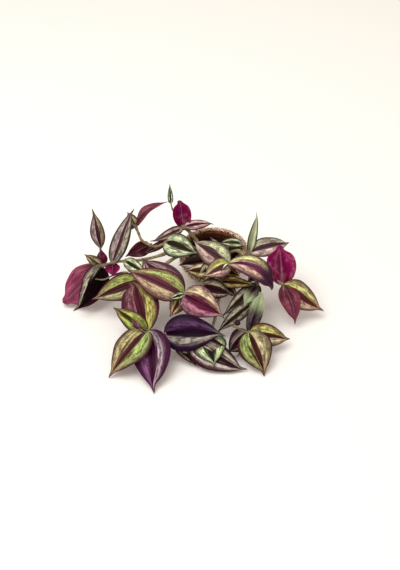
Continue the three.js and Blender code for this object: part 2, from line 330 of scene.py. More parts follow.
class Look(Enum):
    """The leaf colourings that the plant shows, by how old and how well lit a leaf is; SHADE, SHADED_MAUVE and
    PALE_SHADE are darker than the leaves' own colours, as painted shade.
    """

    # Broad lime or olive bands over maroon, on the leaves that lie in full light.
    LIME = Stripes("#b0b883", "#a9b964", "#b3a07c", "#562a30", "#4c2029")
    LIME_OLIVE = Stripes("#aac470", "#bab67c", "#b8987a", "#58292f", "#48202a")
    OLIVE_LIME = Stripes("#a6b65c", "#a8b45a", "#ac8e60", "#453616", "#3c2218")
    TAN_LIME = Stripes("#c6bb90", "#b4cc7c", "#b89c78", "#48221e", "#42191e", inner=0.24)
    LIME_MAROON = Stripes("#c8ca80", "#d0b89c", "#c2a484", "#62302e", "#5a2a30", inner=0.22)
    SUN = Stripes("#ccc878", "#d4c8a0", "#c4a688", "#562f2a", "#4e2429")
    ARCHED = Stripes("#dcda98", "#c6a690", "#452238", "#6e3450", "#52283a", inner=0.28, turn=0.5, turned=0.74)
    ROSY_LIME = Stripes("#b09e7c", "#a9b96a", "#b08f7a", "#663440", "#562430", inner=0.28)
    # Painted highlight: the pale pink of its lower band stands partly for glints on the glossy leaf, over its
    # crimson.
    GLOSSY_ROSE = Stripes("#ccba94", "#a0667a", "#d2bca6", "#5e1c36", "#56203c", inner=0.3, outer=0.96, turn=0.6)
    YOUNG_ROSE = Stripes("#d6b2a8", "#c6c87a", "#e0d0b0", "#6a3c3e", "#5c3234")
    PINK_TIPPED = Stripes("#a29a5c", "#a8a468", "#d8a494", "#3c2014", "#4a2422", turn=0.3)
    AMBER = Stripes("#bcaa78", "#c8b68c", "#ccac8c", "#3d2209", "#3f2410", inner=0.26)
    # Narrow silver bands over violet.
    VIOLET = Stripes("#bca8b0", "#80527a", "#94687c", "#451636", "#48183c", inner=0.28, outer=0.66, turn=0.9)
    VIOLET_LIME = Stripes("#8a5e66", "#c8c668", "#8e6c60", "#54202e", "#4c1a2c", outer=0.82)
    DEEP_VIOLET = Stripes("#56345a", "#988f86", "#a2a092", "#220820", "#260c24", inner=0.28, outer=0.72, turn=0.7)
    SILVER_PLUM = Stripes("#b8a596", "#b3a093", "#8c666e", "#4c2e36", "#522c3e", inner=0.24, outer=0.76, turn=0.4)
    SILVER_SAGE = Stripes("#d8d7ba", "#dac2b6", "#b8a898", "#5c3e46", "#5a463c", inner=0.26)
    SILVER_ROSE = Stripes("#c8b6b2", "#b2b098", "#9a8a7e", "#54323c", "#403430", inner=0.22, outer=0.86)
    LILAC_TAN = Stripes("#b8a0a2", "#a8947a", "#8a7660", "#4a2a32", "#3c2a26", under="#6b1239", inner=0.2)
    # Painted shade: its near-black half stands for the folded leaf's lower face in shadow, over the leaf's own dark
    # plum.
    DARK_PLUM = Stripes("#2c0a1a", "#cac3ac", "#2a0a1a", "#120308", "#3a0c22", inner=0.5, outer=0.97, turn=0.95)
    PALE_BANDS = Stripes("#cfc4ae", "#ccbcb6", "#c2b6a6", "#35191f", "#38161f", inner=0.28, outer=0.78)
    # Painted shade: SHADED_MAUVE is darkened for leaves that lie under others.
    SHADED_MAUVE = Stripes("#74665e", "#7c6c66", "#6a5850", "#220d10", "#2c1018", inner=0.3, outer=0.76)
    # Mint and grey green, on young leaves and those in the shade; SHADE and PALE_SHADE are darkened there as painted
    # shade.
    MINT = Stripes("#c8d3a8", "#d3deb6", "#c8caa2", "#383120", "#37402a", inner=0.3)
    MINT_SHADE = Stripes("#c0d49e", "#dcecb8", "#d0dcac", "#2a2420", "#2e2c22", inner=0.28)
    MINT_ROSE = Stripes("#c2a59c", "#d2daac", "#ccc2aa", "#5c3e42", "#523833")
    SPEAR = Stripes("#666a42", "#bfc59a", "#9aa070", "#d0d4b2", "#454c2a", inner=0.05)
    GREY_GREEN = Stripes("#8e846c", "#a08f7c", "#978a73", "#2e1019", "#2c141a", inner=0.34, outer=0.8)
    STRAP = Stripes("#54444a", "#44363a", "#a6b289", "#260e16", "#20110c", inner=0.14, turn=0.35, turned=0.75)
    # Painted shade: the dark right half stands for the shadowed gap between the leaves.
    PALE_SHADE = Stripes("#d8cabc", "#2a1a12", "#d0c0b0", "#1c100a", "#3a261c", turn=0.9)
    # Painted shade: SHADE is darkened for leaves that lie under others and in the gaps between them.
    SHADE = Stripes("#8c7f6a", "#aca28c", "#aea28c", "#2a1b12", "#261910", inner=0.28, outer=0.84)
    OLIVE = Stripes("#867040", "#9a8454", "#a89262", "#2f1a06", "#2b1806", inner=0.26)
    # Leaves that show their lower face.
    CRIMSON = Stripes("#9c7f7c", "#947479", "#96777a", "#3c1426", "#441024", under="#7c0540")
    ROSE = Stripes("#dabab4", "#cdaba6", "#c8aaa4", "#5a2c36", "#5a2638", under="#74303e")
    BLUSH = Stripes("#a38b82", "#9a7d79", "#a6817c", "#46191f", "#5c2a3c", under="#8c3c52")
    MAROON = Stripes("#5d3c37", "#54332f", "#6a4a40", "#240d0f", "#240e0f", under="#561c26")
    TAN = Stripes("#b4a67a", "#9c8c64", "#b29a7c", "#4a3828", "#3c3220", under="#6d2a38")


# ---- the plant's layout


class Outline(Enum):
    """The exponents of a blade's width before and after its widest place."""

    POINTED = (0.55, 1.15)
    BLUNT = (0.5, 0.55)


@dataclass(frozen=True)
class Leaf:
    """One blade, from its point on the stem to its tip.

    Attributes:
        at: The stem's point that it grows from, counted from 0, or -1 for the start of a branch.
        tip: Where it ends.
        width: Its widest.
        look: Its colours.
        roll: Degrees by which its upper face turns away from the light.
        twist: Degrees by which it is turned further at its root.
        bow: Share of its length by which it arches.
        sway: Share of its length by which it curves sideways.
        outline: Its outline.
    """

    at: float
    tip: Point
    width: float
    look: Look
    roll: float = 0.0
    twist: float = 0.0
    bow: float = BOW
    sway: float = 0.0
    outline: Outline = Outline.POINTED


@dataclass(frozen=True)
class Stem:
    """A stem through its points, with its leaves. It stands in the soil, or starts on another stem.

    Attributes:
        points: The points that it passes through.
        leaves: Its leaves.
        start: Where it branches off, if it doesn't stand in the soil.
        tip_radius: How thick its end is.
        bud: The radius of the flower bud at its end, if it has one.
    """

    points: tuple[Point, ...]
    leaves: tuple[Leaf, ...] = ()
    start: Point | None = None
    tip_radius: float = STEM_TIP_RADIUS
    bud: float = 0.0


@dataclass(frozen=True)
class Shoot:
    """One leafy shoot.

    Attributes:
        node: The node that it replaces.
        slot: The record's material slot.
        stems: Its stems, of which the first stands in the soil.
    """

    node: str
    slot: str
    stems: tuple[Stem, ...]


SHOOTS = (
    Shoot("far_left_shoot", "foliage_pink", (
        Stem((
            (-15, -2, 36), (-32, -8, 53), (-57, -17, 47), (-79, -20, 42),
            (-99, -25, 44), (-113, -28, 44), (-125, -32, 42),
        ), (
            Leaf(4, (-74, -46, 42), 15, Look.MINT),
            Leaf(5, (-91, 18, 86), 20, Look.SILVER_ROSE, roll=10),
            Leaf(5, (-112, -44, 38), 17, Look.CRIMSON, roll=175),
            Leaf(6, (-136, 18, 85), 22, Look.LILAC_TAN, roll=-15, twist=208, sway=0.04),
            Leaf(6, (-169, -53, 6), 46, Look.BLUSH, roll=196, bow=0.0, outline=Outline.BLUNT),
            # Its near-black half is painted shade.
            Leaf(6, (-153, -77, 14), 38, Look.DARK_PLUM, roll=-46, bow=0.12),
            Leaf(6, (-145, -17, 47), 12, Look.TAN),
        )),
        Stem((
            (-82, -46, 32), (-98, -32, 33), (-111, -36, 33), (-121, -49, 37), (-130, -52, 40),
        ), (
            Leaf(0, (-134, -69, 24), 32, Look.LIME),
        ), start=(-79, -20, 42), tip_radius=0.6),
    )),
    Shoot("left_back_shoot", "foliage_crimson", (
        Stem((
            (-13, 8, 36), (-26, 14, 53), (-34, 16, 60), (-44, 8, 57), (-54, -4, 54),
            (-65, -8, 51), (-72, -6, 52), (-81, -3, 56), (-85, 4, 61), (-89, 12, 66),
        ), (
            Leaf(2, (0, 32, 54), 15, Look.ROSE, roll=-15),
            Leaf(2.2, (-71, -9, 57), 12, Look.SILVER_PLUM, roll=-15),
            Leaf(4, (-17, -30, 57), 31, Look.MINT),
            Leaf(4, (-82, -14, 43), 9, Look.MAROON),
            Leaf(6, (-100, -15, 43), 18, Look.MAROON, roll=170),
            Leaf(9, (-51, 26, 88), 17, Look.ROSE, roll=145, bow=-0.2),
            Leaf(9, (-98, 27, 74), 12, Look.TAN),
            Leaf(9, (-98, 7, 62), 4, Look.SHADE),
        )),
        Stem((
            (-41, 30, 64), (-47, 35, 72), (-49, 38, 79),
        ), (
            Leaf(-1, (-38, 33, 86), 22, Look.CRIMSON, roll=180, outline=Outline.BLUNT),
            Leaf(2, (-50, 45, 100), 6, Look.MINT_SHADE),
        ), start=(-34, 16, 60), tip_radius=0.7),
    )),
    Shoot("left_middle_shoot", "foliage_striped", (
        Stem((
            (-4, -15, 36), (-5, -34, 52), (-4, -50, 49), (-14, -71, 46), (-33, -84, 45),
        ), (
            # The dark half of this leaf is painted shade.
            Leaf(1, (-39, -30, 41), 22, Look.PALE_SHADE),
            Leaf(1.4, (-17, -60, 44), 13, Look.SHADE),
            Leaf(2, (-31, -46, 46), 22, Look.AMBER, roll=20),
            Leaf(3, (20, -76, 38), 24, Look.GREY_GREEN),
            Leaf(4, (-80, -29, 50), 34, Look.SILVER_PLUM, roll=-10),
            Leaf(4, (-94, -57, 56), 36, Look.ROSY_LIME, bow=0.1),
            Leaf(4, (11, -110, 36), 37, Look.GLOSSY_ROSE, bow=0.1),
            Leaf(4, (-47, -103, 30), 20, Look.PINK_TIPPED),
            Leaf(4, (-49, -98, 50), 8, Look.MINT),
            Leaf(4, (-37, -101, 41), 8, Look.LIME),
        )),
    )),
    Shoot("front_left_shoot", "foliage_violet", (
        Stem((
            (-12, -10, 36), (-27, -21, 52), (-50, -26, 44), (-68, -48, 37), (-72, -88, 30), (-71, -121, 26),
        ), (
            Leaf(5, (-87, -56, 39), 42, Look.VIOLET_LIME, outline=Outline.BLUNT),
            Leaf(5, (-108, -92, 34), 21, Look.OLIVE_LIME),
            Leaf(5, (-109, -164, 1), 42, Look.LIME_OLIVE, roll=25, bow=0.12, sway=-0.04),
            Leaf(5, (-64, -186, 1), 44, Look.VIOLET, roll=8, bow=0.04, sway=-0.05),
            Leaf(5, (-81, -122, 33), 5, Look.LIME),
        )),
    )),
    Shoot("front_shoot", "foliage_dark", (
        Stem((
            (4, -15, 36), (6, -33, 52), (7, -60, 42), (2, -92, 26),
            (-8, -122, 18), (-26, -131, 16), (-41, -129, 18), (-53, -121, 23),
        ), (
            Leaf(1.5, (28, -54, 46), 14, Look.OLIVE),
            Leaf(2, (26, -78, 35), 14, Look.SHADE),
            Leaf(2, (46, -76, 50), 15, Look.OLIVE, roll=-15),
            Leaf(4, (0, -156, 10), 38, Look.MINT_SHADE),
            Leaf(5, (32, -156, 1), 34, Look.PALE_BANDS),
            Leaf(6, (-24, -141, 11), 12, Look.MINT_SHADE),
            Leaf(6, (-19, -149, 3), 13, Look.SHADED_MAUVE),
            Leaf(7, (11, -128, 29), 42, Look.DEEP_VIOLET),
        )),
    )),
    Shoot("front_right_shoot", "foliage_dark", (
        Stem((
            (14, -6, 36), (28, -19, 53), (41, -44, 49), (46, -65, 43),
            (39, -84, 32), (37, -104, 25), (36, -121, 24),
        ), (
            Leaf(3, (8, -94, 22), 17, Look.SHADE),
            Leaf(3, (30, -96, 39), 18, Look.STRAP),
            Leaf(4, (2, -108, 12), 16, Look.SHADE),
            Leaf(6, (51, -77, 42), 16, Look.STRAP, outline=Outline.BLUNT),
            Leaf(6, (52, -161, 1), 38, Look.TAN_LIME),
            Leaf(6, (80, -116, 9), 27, Look.SUN),
            Leaf(6, (13, -136, 9), 26, Look.SHADED_MAUVE),
            Leaf(6, (24, -139, 5), 10, Look.MINT_SHADE),
        )),
        Stem((
            (27, -120, 28), (19, -117, 30), (17, -117, 33), (21, -118, 35),
        ), start=(36, -121, 24), tip_radius=0.6, bud=3.3),
    )),
    Shoot("crown_shoot", "foliage_lime", (
        Stem((
            (10, -12, 36), (14, -31, 53), (16, -48, 58),
        ), (
            Leaf(2, (63, -64, 35), 30, Look.ARCHED, roll=-20, bow=0.38, outline=Outline.BLUNT),
            Leaf(2, (-24, -11, 61), 31, Look.MINT_ROSE),
            Leaf(2, (-13, -67, 55), 23, Look.YOUNG_ROSE),
            Leaf(2, (7, -60, 58), 6, Look.MINT),
        )),
    )),
    Shoot("right_back_shoot", "foliage_crimson", (
        Stem((
            (15, 2, 36), (32, -6, 52), (40, -18, 51), (55, -38, 46), (66, -52, 42), (75, -62, 40),
        ), (
            Leaf(1, (6, -2, 50), 13, Look.MINT, roll=20, bow=0.15),
            Leaf(2, (49, 6, 88), 10, Look.SPEAR),
            Leaf(2, (86, -2, 50), 23, Look.SILVER_SAGE, bow=0.2),
            Leaf(3, (64, -57, 30), 15, Look.DEEP_VIOLET),
            Leaf(3, (35, -56, 36), 14, Look.SHADE),
            Leaf(5, (72, -20, 62), 34, Look.CRIMSON, roll=180, bow=-0.07, outline=Outline.BLUNT),
            Leaf(5, (89, -88, 6), 24, Look.ROSE, roll=170, bow=-0.18),
            Leaf(5, (120, -73, 11), 32, Look.LIME_MAROON, bow=0.0),
        )),
    )),
    Shoot("young_shoot", "foliage_lime", (
        Stem((
            (4, 4, 36), (9, -3, 45),
        ), (
            Leaf(1, (26, 10, 50), 12, Look.MINT),
            Leaf(1, (-4, 17, 45), 5, Look.MINT_ROSE),
        )),
    )),
)


# ---- finishes


@dataclass(frozen=True)
class LeafFace:
    """The living upper or lower face of a leaf: a waxy skin over long veins, striped by silvery air cells.

    The colours come with the mesh, as the attributes "ground", "band" and "under". "zone" runs from 0 at the
    midrib over the band's start and end to 1 at the margin. "grain" is the place on the leaf in millimetres, across
    and along.

    Attributes:
        name: The real material.
        lower: Whether it is the lower face.
        roughness: How matt its wax is.
        streak_width: How wide the streaks are that fray the bands' edges.
        patch_width: How wide the patches are where a band thins out.
        cell_width: How wide the silvery cells are.
        wax: The tint of the painted sheen, which the lower face turns to where its wax would catch the light.
    """

    name: str
    lower: bool
    roughness: float
    streak_width: float = 2.2
    patch_width: float = 3.5
    cell_width: float = 0.5
    # Painted sheen: the pale tint of the lower face's highlights.
    wax: str = "#d0a0a6"

    def material(self) -> Material:
        """Builds the material.

        Returns:
            The material, which reads the mesh's attributes.
        """
        material, tree, shader = new_material(self.name, self.roughness, specular=0.045)
        grain = add_node(tree, "ShaderNodeAttribute", attribute_name="grain").outputs["Vector"]
        zone = add_node(tree, "ShaderNodeAttribute", attribute_name="zone").outputs["Fac"]
        # Streaks run along the leaf, many times longer than they are wide, and patches are twice as long.
        streaks, patches = (
            add_node(tree, "ShaderNodeTexNoise", {
                "Vector": add_node(tree, "ShaderNodeMapping", {"Vector": grain, "Scale": (1.0, squeeze, 1.0)}),
                "Scale": 1 / width, "Detail": detail, "Roughness": roughness,
            })
            for squeeze, width, detail, roughness in (
                (0.05, self.streak_width, 4.0, 0.65), (0.5, self.patch_width, 5.0, 0.75),
            )
        )
        cells = add_node(tree, "ShaderNodeTexVoronoi", {"Vector": grain, "Scale": 1 / self.cell_width})
        colour = (self._lower_colour if self.lower else self._upper_colour)(tree, streaks, patches, zone)
        shade = add_node(tree, "ShaderNodeMapRange", dict(zip(RANGE_INPUTS, (cells, 0.0, 0.9, 1.1, 0.82))))
        lit = add_node(tree, "ShaderNodeVectorMath", {0: colour, "Scale": shade}, operation="SCALE")
        wave = add_node(tree, "ShaderNodeMath", {0: zone, 1: 2 * math.pi * VEINS}, operation="MULTIPLY")
        veins = add_node(tree, "ShaderNodeMath", {0: wave}, operation="COSINE")
        height = add_node(tree, "ShaderNodeMath", {0: veins, 1: 0.35, 2: cells}, operation="MULTIPLY_ADD")
        bump = add_node(tree, "ShaderNodeBump", {"Strength": 0.2, "Distance": 0.3 * MM, "Height": height})
        connect(tree, shader, {"Base Color": lit, "Normal": bump})
        return material

    def _upper_colour(self, tree: Tree, streaks: Node, patches: Node, zone: Socket) -> Socket:
        """Lays the two silvery bands over the dark ground, frayed and mottled.

        Args:
            tree: The material's tree.
            streaks: Noise drawn out along the leaf.
            patches: Broad noise.
            zone: The place across the leaf.

        Returns:
            The colour's socket.
        """
        # The bands' edges fray, and the bands break up in patches and in lines. A fine dark line marks the midrib,
        # and the dark zones are streaked.
        shift, mottled, lined, rib, streaked = (
            add_node(tree, "ShaderNodeMapRange", dict(zip(RANGE_INPUTS, row)))
            for row in (
                (streaks, 0.25, 0.75, -0.16, 0.16), (patches, 0.4, 0.54, 0.3, 1.0), (streaks, 0.36, 0.54, 0.4, 1.0),
                (zone, 0.0, 0.05, 0.4, 1.0), (streaks, 0.35, 0.65, 0.55, 1.2),
            )
        )
        frayed = add_node(tree, "ShaderNodeMath", {0: zone, 1: shift})
        mask = add_node(tree, "ShaderNodeValToRGB", {"Fac": frayed})
        stops = ((0.17, 0.0), (0.3, 0.95), (0.62, 0.85), (0.86, 0.0))
        for _ in stops[2:]:
            mask.color_ramp.elements.new(0.5)
        for element, (place, share) in zip(mask.color_ramp.elements, stops):
            element.position = place
            element.color = (share, share, share, 1.0)
        broken = add_node(tree, "ShaderNodeMath", {0: lined, 1: mottled}, operation="MULTIPLY")
        amount = add_node(tree, "ShaderNodeMath", {0: mask, 1: broken}, operation="MULTIPLY")
        depth = add_node(tree, "ShaderNodeMath", {0: rib, 1: streaked}, operation="MULTIPLY")
        # The bands are brightest at their core.
        core = add_node(tree, "ShaderNodeMapRange", dict(zip(RANGE_INPUTS, (amount, 0.4, 0.95, 0.8, 1.18))))
        dark, bright = (
            add_node(tree, "ShaderNodeVectorMath", {
                0: add_node(tree, "ShaderNodeAttribute", attribute_name=name), "Scale": scale,
            }, operation="SCALE")
            for name, scale in (("ground", depth), ("band", core))
        )
        return add_node(tree, "ShaderNodeMix", {0: amount, 6: dark, 7: bright}, data_type="RGBA").outputs[2]

    def _lower_colour(self, tree: Tree, streaks: Node, patches: Node, zone: Socket) -> Socket:
        """Colours the magenta lower face, with a paler midrib, and a margin and patches paled by painted sheen.

        Args:
            tree: The material's tree.
            streaks: Noise drawn out along the leaf.
            patches: Broad noise.
            zone: The place across the leaf.

        Returns:
            The colour's socket.
        """
        both = add_node(tree, "ShaderNodeMath", {0: streaks, 1: patches})
        # Painted sheen: the face is paler towards its margin and turns to a pale tint in patches, where the wax would
        # catch the light. The midrib is a pale line.
        shade, margin, sheen, rib = (
            add_node(tree, "ShaderNodeMapRange", dict(zip(RANGE_INPUTS, row)))
            for row in (
                (both, 0.75, 1.25, 0.35, 1.2), (zone, 0.1, 1.0, 0.8, 1.35),
                (patches, 0.5, 0.66, 0.0, 0.22), (zone, 0.02, 0.07, 0.16, 0.0),
            )
        )
        amount = add_node(tree, "ShaderNodeMath", {0: shade, 1: margin}, operation="MULTIPLY")
        under = add_node(tree, "ShaderNodeAttribute", attribute_name="under")
        lit = add_node(tree, "ShaderNodeVectorMath", {0: under, "Scale": amount}, operation="SCALE")
        pale = add_node(tree, "ShaderNodeMath", {0: sheen, 1: rib}, use_clamp=True)
        return add_node(tree, "ShaderNodeMix", {0: pale, 6: lit, 7: linear(self.wax)}, data_type="RGBA").outputs[2]


@dataclass(frozen=True)
class SpeckledSkin:
    """A matt natural skin whose colour wanders between two tones, with a fine grain: stems, husk, compost.

    Attributes:
        name: The real material.
        dark: Its darker tone.
        pale: Its paler tone.
        patch: How wide its patches are.
        grain: How wide its grain is.
        depth: How deep its grain is.
        roughness: How matt it is.
        stretch: How the patches are drawn out along X, Y and Z.
        contrast: How sharply its tones part, from 0 to 1.
    """

    name: str
    dark: str
    pale: str
    patch: float
    grain: float
    depth: float
    roughness: float
    stretch: Point = (1.0, 1.0, 1.0)
    contrast: float = 0.0

    def material(self) -> Material:
        """Builds the material from Object coordinates.

        Returns:
            The material.
        """
        material, tree, shader = new_material(self.name, self.roughness, specular=0.15)
        place = add_node(tree, "ShaderNodeTexCoord").outputs["Object"]
        drawn = add_node(tree, "ShaderNodeMapping", {"Vector": place, "Scale": self.stretch})
        patches, grain = (
            add_node(tree, "ShaderNodeTexNoise", {
                "Vector": drawn, "Scale": 1 / (width * MM), "Detail": detail, "Roughness": roughness,
            })
            for width, detail, roughness in ((self.patch, 5.0, 0.65), (self.grain, 3.0, 0.7))
        )
        both = add_node(tree, "ShaderNodeMath", {0: patches, 1: grain})
        reach = 0.27 * (1 - 0.7 * self.contrast)
        share = add_node(tree, "ShaderNodeMapRange", {"Value": both, "From Min": 1 - reach, "From Max": 1 + reach})
        # The Mix node's colours are its inputs 6 and 7 and its output 2.
        tones = {0: share, 6: linear(self.dark), 7: linear(self.pale)}
        colour = add_node(tree, "ShaderNodeMix", tones, data_type="RGBA").outputs[2]
        bump = add_node(tree, "ShaderNodeBump", {"Strength": 0.7, "Distance": self.depth * MM, "Height": grain})
        connect(tree, shader, {"Base Color": colour, "Normal": bump})
        return material


PLANT_SKINS = (
    # The waxy leaf: striped above, magenta below with broad patches of painted satin sheen.
    LeafFace("tradescantia_leaf_upper", lower=False, roughness=0.4),
    LeafFace("tradescantia_leaf_lower", lower=True, roughness=0.42, patch_width=8.0),
    # A juicy stem: green where it is shaded, purple where the light reaches it.
    SpeckledSkin("tradescantia_stem", "#4a3026", "#aea574", 5.0, 1.2, 0.05, 0.45),
    # The sleeve is thin and papery, pinkish tan with purple veins.
    SpeckledSkin("leaf_sleeve", "#5f3a44", "#9c8c70", 1.6, 0.6, 0.05, 0.6),
    # A closed flower bud, dark purple and a little shiny.
    SpeckledSkin("flower_bud", "#1c0a10", "#3d1a24", 1.5, 0.6, 0.05, 0.4),
    # Fine pale hairs, a little see-through in life, so drawn light.
    SpeckledSkin("plant_hair", "#b9ac96", "#ded4c0", 4.0, 2.0, 0.01, 0.7),
)


# ---- geometry trees


def geometry_tree(name: str, **inputs: str) -> tuple[Tree, bpy.types.bpy_prop_collection]:
    """Starts a geometry tree.

    Args:
        name: Its name.
        **inputs: The kind of each input besides the geometry, by name.

    Returns:
        The tree, and its inputs' sockets by name.
    """
    tree = bpy.data.node_groups.new(name, "GeometryNodeTree")
    for label, kind in {"Geometry": "Geometry", **inputs}.items():
        tree.interface.new_socket(label, in_out="INPUT", socket_type=f"NodeSocket{kind}")
    tree.interface.new_socket("Geometry", in_out="OUTPUT", socket_type="NodeSocketGeometry")
    return tree, add_node(tree, "NodeGroupInput").outputs


def tube_tree() -> Tree:
    """Builds the geometry tree that gives curves a round section of their own radius.

    Returns:
        The tree, with the inputs Sides and Finish.
    """
    tree, given = geometry_tree("tube", Sides="Int", Finish="Material")
    ring = add_node(tree, "GeometryNodeCurvePrimitiveCircle", {"Resolution": given["Sides"], "Radius": 1.0})
    tube = add_node(tree, "GeometryNodeCurveToMesh", {
        "Curve": given["Geometry"],
        "Profile Curve": ring,
        "Scale": add_node(tree, "GeometryNodeInputRadius"),
        "Fill Caps": True,
    })
    smooth = add_node(tree, "GeometryNodeSetShadeSmooth", {"Geometry": tube})
    real = add_node(tree, "GeometryNodeRealizeInstances", {"Geometry": smooth})
    finish = add_node(tree, "GeometryNodeSetMaterial", {"Geometry": real, "Material": given["Finish"]})
    add_node(tree, "NodeGroupOutput", {"Geometry": finish})
    return tree


def scatter_tree() -> Tree:
    """Builds the geometry tree that scatters turned and scaled copies of a small mesh over a surface.

    Returns:
        The tree, with the inputs Grain, Density (per square metre), Lean, Smallest, Largest, Seed and Finish.
    """
    tree, given = geometry_tree(
        "scatter", Grain="Object", Density="Float", Lean="Float", Smallest="Float", Largest="Float", Seed="Int",
        Finish="Material",
    )
    seed = {"Seed": given["Seed"]}
    spread = add_node(tree, "GeometryNodeDistributePointsOnFaces", {
        "Mesh": given["Geometry"], "Density": given["Density"], **seed,
    })
    grain = add_node(tree, "GeometryNodeObjectInfo", {"Object": given["Grain"]}).outputs["Geometry"]
    back = add_node(tree, "ShaderNodeMath", {0: given["Lean"], 1: -1.0}, operation="MULTIPLY")
    low, high = (
        add_node(tree, "ShaderNodeCombineXYZ", {"X": lean, "Y": lean, "Z": turn})
        for lean, turn in ((back, -math.pi), (given["Lean"], math.pi))
    )
    lean = add_node(tree, "FunctionNodeRandomValue", {0: low, 1: high, **seed}, data_type="FLOAT_VECTOR")
    facing = add_node(tree, "FunctionNodeRotateRotation", {
        "Rotation": spread.outputs["Rotation"], "Rotate By": lean,
    }, rotation_space="LOCAL")
    size = add_node(tree, "FunctionNodeRandomValue", {
        2: given["Smallest"], 3: given["Largest"], **seed,
    }, data_type="FLOAT").outputs[1]
    copies = add_node(tree, "GeometryNodeInstanceOnPoints", {
        "Points": spread, "Instance": grain, "Rotation": facing, "Scale": size,
    })
    real = add_node(tree, "GeometryNodeRealizeInstances", {"Geometry": copies})
    finish = add_node(tree, "GeometryNodeSetMaterial", {"Geometry": real, "Material": given["Finish"]})
    add_node(tree, "NodeGroupOutput", {"Geometry": finish})
    return tree


def grown(source: Piece, tree: Tree, **values: object) -> Piece:
    """Runs a geometry tree on an object and keeps the result as a plain mesh.

    Args:
        source: The object, which is used up.
        tree: The geometry tree.
        **values: The tree's inputs, by name.

    Returns:
        The plain object.
    """
    modifier = source.modifiers.new(tree.name, "NODES")
    modifier.node_group = tree
    for item in tree.interface.items_tree:
        if item.in_out == "INPUT" and item.name in values:
            modifier[item.identifier] = values[item.name]
    return baked(source)


def scattered(name: str, tree: Tree, grain: Mesh, ground: Mesh, faces: slice, **values: object) -> Piece:
    """Scatters copies of a small mesh over some faces of another.

    Args:
        name: The piece's name.
        tree: The scatter tree.
        grain: The small mesh.
        ground: The mesh that its copies stand on.
        faces: Which of the ground's faces they stand on.
        **values: The tree's other inputs, by name.

    Returns:
        The piece.
    """
    chosen = [tuple(face.vertices) for face in ground.polygons][faces]
    source = new_piece(name, new_mesh(name, [vertex.co.copy() for vertex in ground.vertices], chosen))
    pattern = new_piece("grain", grain)
    piece = grown(source, tree, Grain=pattern, **values)
    bpy.data.objects.remove(pattern)
    return piece


def bristle(length: float, radius: float, bend: float, rings: int = 5, thinning: float = 0.8) -> Mesh:
    """Builds one bent three-sided fibre that stands on the origin and thins to its end.

    Args:
        length: How long it is.
        radius: How thick it is at its foot.
        bend: How far its end leans over.
        rings: How many rings it has.
        thinning: The share of its thickness that it loses.

    Returns:
        The closed mesh.
    """
    vertices = []
    for i in range(rings):
        share = i / (rings - 1)
        thick = radius * (1 - thinning * share)
        for k in range(3):
            angle = 2 * math.pi * k / 3
            x = thick * math.cos(angle) + bend * share**2
            vertices.append((x * MM, thick * math.sin(angle) * MM, length * share * MM))
    end = rings * 3
    return new_mesh("bristle", vertices, [*walls(3, rings), (2, 1, 0), (end - 3, end - 2, end - 1)])


# ---- stems and leaves


class StemPath:
    """The smooth path of a stem through its points, and how thick the stem is along it."""

    def __init__(self, stem: Stem) -> None:
        """Takes the stem's points, with its start in the soil or on the stem that it branches off.

        Args:
            stem: The stem's layout.
        """
        first = stem.points[0]
        start = stem.start or (first[0], first[1], first[2] - ROOT_DEPTH)
        self.points = [Vector(start), *(Vector(p) for p in stem.points)]
        self.count = len(self.points) - 1
        self.foot_radius = BRANCH_RADIUS if stem.start else STEM_RADIUS
        self.tip_radius = stem.tip_radius

    def place(self, position: float) -> Vector:
        """Gives the point at a position.

        Args:
            position: Counted in points from the start.

        Returns:
            The point in millimetres.
        """
        i = min(int(position), self.count - 1)
        share = position - i
        a = self.points[i - 1] if i > 0 else 2 * self.points[0] - self.points[1]
        b, c = self.points[i], self.points[i + 1]
        d = self.points[i + 2] if i + 2 <= self.count else 2 * self.points[-1] - self.points[-2]
        before, after = (c - a) / 2, (d - b) / 2
        square, cube = share**2, share**3
        return (
            (2 * cube - 3 * square + 1) * b + (cube - 2 * square + share) * before
            + (3 * square - 2 * cube) * c + (cube - square) * after
        )

    def radius(self, position: float) -> float:
        """Gives the stem's radius, swollen where leaves grow.

        Args:
            position: Counted in points from the start.

        Returns:
            The radius in millimetres.
        """
        along = position / self.count
        nearest = abs(position - round(position))
        swelling = NODE_SWELLING * max(0.0, 1 - nearest / SWELLING_REACH) if position > 1 else 0.0
        return (self.foot_radius + (self.tip_radius - self.foot_radius) * along) * (1 + swelling)

    def rings(self) -> list[Ring]:
        """Lists the centres and radii of the stem's rings.

        Returns:
            The rings, about a stem step apart.
        """
        positions = [0.0]
        for i in range(self.count):
            steps = max(2, round((self.points[i + 1] - self.points[i]).length / STEM_STEP))
            positions += [i + (k + 1) / steps for k in range(steps)]
        return [(self.place(p), self.radius(p)) for p in positions]

    def sleeve(self, at: float) -> list[Ring]:
        """Gives the sleeve that a leaf's foot wraps round the stem, closed at both ends.

        Args:
            at: Where the leaf grows.

        Returns:
            The centres and radii of its rings.
        """
        top = low = min(at + 1.0, float(self.count))
        reach, step = 0.0, 0.02
        while reach < SLEEVE_LENGTH and low > step:
            reach += (self.place(low) - self.place(low - step)).length
            low -= step
        # It widens from a tight hem to an open mouth. Each pair is a share of its length and its width over the stem.
        outline = ((0, 0.02), (0.08, 0.3), (0.3, 0.42), (0.7, 0.6), (0.92, 0.95), (1, 0.8), (1, 0.1))
        positions = ((low + (top - low) * share, extra) for share, extra in outline)
        return [(self.place(position), self.radius(position) + extra) for position, extra in positions]

    def bud(self, radius: float) -> list[Ring]:
        """Gives the round bud at the stem's end.

        Args:
            radius: Its radius.

        Returns:
            The centres and radii of its rings.
        """
        end = self.place(float(self.count))
        way = (end - self.place(self.count - 0.1)).normalized()
        return [
            (end + way * radius * (BUD_REACH - math.cos(angle)), max(0.05, radius * math.sin(angle)))
            for angle in np.linspace(0.0, math.pi, BUD_RINGS)
        ]


